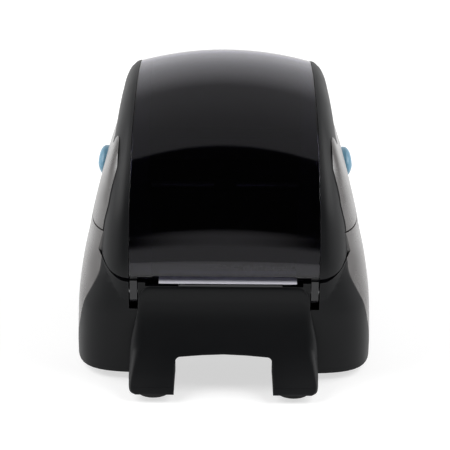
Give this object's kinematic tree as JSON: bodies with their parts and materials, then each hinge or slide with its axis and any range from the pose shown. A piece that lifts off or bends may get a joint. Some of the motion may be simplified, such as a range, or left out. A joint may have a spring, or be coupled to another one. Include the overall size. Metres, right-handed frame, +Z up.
{
  "type": "desktop label printer",
  "caption": "Desktop thermal label printer with a rounded clamshell cover, a smoked see-through window, a rear fan-fold slot and a two-legged cable tail.",
  "frame": {"origin": "under the middle of the printer, on the surface that its feet stand on", "axes": "+X to the right when the printer is seen from behind, +Y towards the front where labels come out, +Z up"},
  "size_m": [0.17, 0.216, 0.156],
  "materials": {
    "charcoal": "fine matte moulded grain",
    "flank": "satin moulded skin",
    "smoked": "polished smoked see-through plastic",
    "mask": "black satin plastic",
    "inner": "matte moulded grey",
    "latch_blue": "satin blue plastic",
    "rubber": "soft matte black",
    "steel": "plain steel",
    "aluminium": "extruded satin",
    "nylon": "white gear plastic",
    "board": "green solder mask",
    "connector_black": "black",
    "connector_metal": "tinned shell",
    "lamp": "clear light pipe",
    "ceramic": "glazed ceramic strip"
  },
  "bodies": {
    "base": {"rear_housing": "charcoal", "side_panel_right": "flank", "side_panel_left": "flank", "hinge_pin_right": "steel", "hinge_pin_left": "steel", "base_pan": "inner", "cable_bay": "charcoal", "front_panel": "flank", "lamp_pipe": "lamp", "switch_body": "connector_black", "main_board": "board", "power_inlet": "connector_black", "serial_port": "connector_metal", "usb_device_port": "connector_metal", "ethernet_port": "connector_metal", "fanfold_guide": "steel", "fanfold_lip": "charcoal", "media_tub": "inner", "guide_track": "inner", "bearing_right": "nylon", "bearing_left": "nylon", "side_plate_right": "steel", "side_plate_left": "steel", "idler_stud": "steel", "stepper_motor": "mask", "tear_bar": "aluminium", "sensor_rail": "steel", "foot_rear_left": "rubber", "foot_rear_right": "rubber", "foot_front_left": "rubber", "foot_front_right": "rubber", "pan_screw_1": "steel", "pan_screw_2": "steel"},
    "cover": {"cover_frame": "charcoal", "cover_side_left": "flank", "cover_side_right": "flank", "window": "smoked", "window_mask": "mask", "latch_bracket_left": "mask", "latch_bracket_right": "mask", "latch_spring_left": "steel", "latch_spring_right": "steel", "printhead_mount": "steel", "head_spring_left": "steel", "head_spring_right": "steel"},
    "latch_left": {"latch_left": "latch_blue"},
    "latch_right": {"latch_right": "latch_blue"},
    "print_head": {"printhead": "ceramic", "printhead_heatsink": "aluminium"},
    "platen": {"platen_shaft": "steel", "platen_roller": "rubber", "platen_gear": "nylon"},
    "idler": {"idler_gear": "nylon"},
    "motor_rotor": {"motor_pinion": "nylon"},
    "guide_left": {"guide_left": "inner"},
    "guide_right": {"guide_right": "inner"},
    "guide_gear": {"guide_pinion": "nylon"},
    "sensor": {"gap_sensor": "connector_black"},
    "feed_button": {"feed_button": "latch_blue"},
    "power_rocker": {"power_switch": "mask"}
  },
  "joints": [
    {"name": "cover_hinge", "type": "hinge", "parent": "base", "child": "cover", "pos_m": [0, -0.0735, 0.052], "axis": [1, 0, 0], "range_deg": [0, 80]},
    {"name": "latch_left_press", "type": "slide", "parent": "cover", "child": "latch_left", "axis": [1, 0, 0], "range_m": [0, 0.003], "stiffness_N_per_m": 600, "springref_m": -0.002, "deforming": ["latch_spring_left"]},
    {"name": "latch_right_press", "type": "slide", "parent": "cover", "child": "latch_right", "axis": [-1, 0, 0], "range_m": [0, 0.003], "stiffness_N_per_m": 600, "springref_m": -0.002, "deforming": ["latch_spring_right"]},
    {"name": "head_float", "type": "slide", "parent": "cover", "child": "print_head", "axis": [0, 0, 1], "range_m": [0, 0.0012], "stiffness_N_per_m": 2000, "springref_m": -0.003, "deforming": ["head_spring_left", "head_spring_right"]},
    {"name": "platen_spin", "type": "hinge", "parent": "base", "child": "platen", "pos_m": [0, 0.081, 0.0725], "axis": [1, 0, 0], "continuous": true},
    {"name": "idler_spin", "type": "hinge", "parent": "base", "child": "idler", "pos_m": [0, 0.07363, 0.05124], "axis": [1, 0, 0], "continuous": true},
    {"name": "motor_spin", "type": "hinge", "parent": "base", "child": "motor_rotor", "pos_m": [0, 0.081, 0.034], "axis": [1, 0, 0], "continuous": true},
    {"name": "guide_left_slide", "type": "slide", "parent": "base", "child": "guide_left", "axis": [1, 0, 0], "range_m": [0, 0.034]},
    {"name": "guide_right_slide", "type": "slide", "parent": "base", "child": "guide_right", "axis": [-1, 0, 0], "range_m": [0, 0.034]},
    {"name": "guide_gear_spin", "type": "hinge", "parent": "base", "child": "guide_gear", "pos_m": [0, 0.012, 0.027], "axis": [0, 0, 1], "range_deg": [0, 218]},
    {"name": "sensor_slide", "type": "slide", "parent": "base", "child": "sensor", "axis": [1, 0, 0], "range_m": [-0.04, 0.04]},
    {"name": "feed_press", "type": "slide", "parent": "base", "child": "feed_button", "axis": [0, -1, 0], "range_m": [0, 0.0015], "stiffness_N_per_m": 400, "springref_m": -0.002},
    {"name": "power_rock", "type": "hinge", "parent": "base", "child": "power_rocker", "pos_m": [0.044, 0.1034, 0.032], "axis": [0, 0, 1], "range_deg": [-12, 0]}
  ],
  "couplings": [
    {"joint": "idler_spin", "follows": "platen_spin", "ratio": -0.8},
    {"joint": "motor_spin", "follows": "platen_spin", "ratio": 1.6},
    {"joint": "guide_right_slide", "follows": "guide_left_slide", "ratio": 1},
    {"joint": "guide_gear_spin", "follows": "guide_left_slide", "rad_per_m": 111.11}
  ]
}
